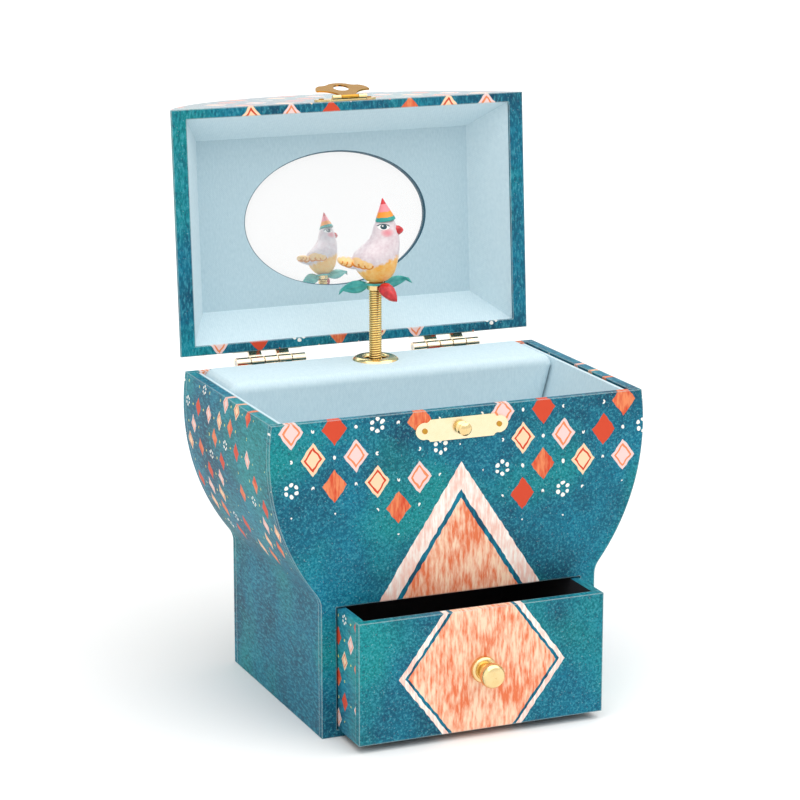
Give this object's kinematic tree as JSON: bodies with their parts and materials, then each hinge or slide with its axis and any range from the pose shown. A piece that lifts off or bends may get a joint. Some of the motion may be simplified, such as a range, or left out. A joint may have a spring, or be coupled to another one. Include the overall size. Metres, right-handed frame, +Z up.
{
  "type": "musical jewellery box",
  "caption": "Vase-shaped printed jewellery box with an arched mirror lid, a pull-out drawer and a small bird that turns on a coil stem above a wind-up comb movement.",
  "frame": {"origin": "centre of the case's underside, on the table", "axes": "+X to the right of the front, +Y to the back, +Z up; the drawer opens along -Y"},
  "size_m": [0.1622, 0.2052, 0.2432],
  "materials": {
    "printed_paper": "satin printed paper",
    "black_paper": "matte paper",
    "grey_board": "bare board",
    "lining_cloth": "woven book cloth",
    "mirror_glass": "silvered",
    "brass": "polished",
    "steel": "bright",
    "cast_zinc": "as cast",
    "brake_plastic": "matte",
    "painted_resin": "satin paint",
    "hat_paint": "banded paint",
    "red_paint": "gloss paint",
    "leaf_paint": "gloss paint"
  },
  "bodies": {
    "case": {"front_panel": "printed_paper", "back_panel": "printed_paper", "left_side_skin": "printed_paper", "right_side_skin": "printed_paper", "base_board": "grey_board", "bay_roof": "grey_board", "bay_guides": "grey_board", "compartment_floor": "lining_cloth", "front_lining": "lining_cloth", "left_lining": "lining_cloth", "right_lining": "lining_cloth", "mechanism_cover": "lining_cloth", "stem_grommet": "brass", "clasp_plate": "brass", "clasp_stud": "brass", "case_nails": "brass", "left_hinge_case_leaf": "brass", "right_hinge_case_leaf": "brass", "hinge_pins": "steel", "movement_bedplate": "cast_zinc", "comb": "steel", "governor_bracket": "steel", "movement_screws": "steel"},
    "lid": {"lid_front_panel": "printed_paper", "lid_back_panel": "printed_paper", "lid_dome_skin": "printed_paper", "lid_rim_frame": "printed_paper", "lid_tray": "lining_cloth", "mirror_board": "lining_cloth", "mirror": "mirror_glass", "left_hinge_lid_leaf": "brass", "right_hinge_lid_leaf": "brass", "lid_nails": "brass", "hasp_plate": "brass", "hasp_pin": "steel"},
    "hasp": {"hasp_leaf": "brass"},
    "drawer": {"drawer_front": "printed_paper", "drawer_sides": "black_paper", "drawer_back": "black_paper", "drawer_floor": "black_paper", "drawer_knob": "brass", "knob_screw": "steel"},
    "key": {"winding_arbor": "steel", "winding_key": "steel"},
    "barrel": {"spring_barrel": "brass"},
    "cylinder": {"cylinder_spindle": "steel", "pinned_cylinder": "brass", "cylinder_wheel": "brass"},
    "train": {"governor_pinion": "steel", "governor_wheel": "brass"},
    "governor": {"governor_worm": "steel", "air_brake": "brake_plastic"},
    "stem": {"stem_spring": "steel"},
    "figure": {"stem_socket": "steel", "leaf_collar": "leaf_paint", "flower_bud": "red_paint", "bird_body": "painted_resin", "bird_hat": "hat_paint", "bird_beak": "red_paint"}
  },
  "joints": [
    {"name": "lid_hinge", "type": "hinge", "parent": "case", "child": "lid", "pos_m": [0, 0.0561, 0.13025], "axis": [1, 0, 0], "range_deg": [0, 94]},
    {"name": "hasp_hinge", "type": "hinge", "parent": "lid", "child": "hasp", "pos_m": [0, 0.06558, 0.23925], "axis": [1, 0, 0], "range_deg": [0, 163]},
    {"name": "drawer_slide", "type": "slide", "parent": "case", "child": "drawer", "axis": [0, -1, 0], "range_m": [-0.022, 0.038]},
    {"name": "key_turn", "type": "hinge", "parent": "case", "child": "key", "pos_m": [0, 0.05, 0.076], "axis": [0, 1, 0], "continuous": true},
    {"name": "cylinder_spin", "type": "hinge", "parent": "case", "child": "cylinder", "pos_m": [0, 0.0375, 0.1], "axis": [0, 0, 1], "continuous": true},
    {"name": "barrel_spin", "type": "hinge", "parent": "case", "child": "barrel", "pos_m": [0, 0.028, 0.076], "axis": [0, 1, 0], "continuous": true},
    {"name": "train_spin", "type": "hinge", "parent": "case", "child": "train", "pos_m": [0.009, 0.0375, 0.113], "axis": [0, 0, 1], "continuous": true},
    {"name": "governor_spin", "type": "hinge", "parent": "case", "child": "governor", "pos_m": [0.016, 0.0375, 0.1186], "axis": [0, 1, 0], "continuous": true},
    {"name": "figure_bend", "type": "hinge", "parent": "case", "child": "stem", "pos_m": [0, 0.034, 0.1312], "axis": [1, 0, 0], "range_deg": [0, 94], "deforming": ["stem_spring"]},
    {"name": "figure_spin", "type": "hinge", "parent": "stem", "child": "figure", "pos_m": [0, 0.0375, 0.165], "axis": [0, 0, 1], "continuous": true}
  ],
  "couplings": [
    {"joint": "barrel_spin", "follows": "cylinder_spin", "ratio": 0.25},
    {"joint": "train_spin", "follows": "cylinder_spin", "ratio": -4},
    {"joint": "governor_spin", "follows": "cylinder_spin", "ratio": 64},
    {"joint": "figure_spin", "follows": "cylinder_spin", "ratio": 1},
    {"joint": "figure_bend", "follows": "lid_hinge", "ratio": 1}
  ]
}
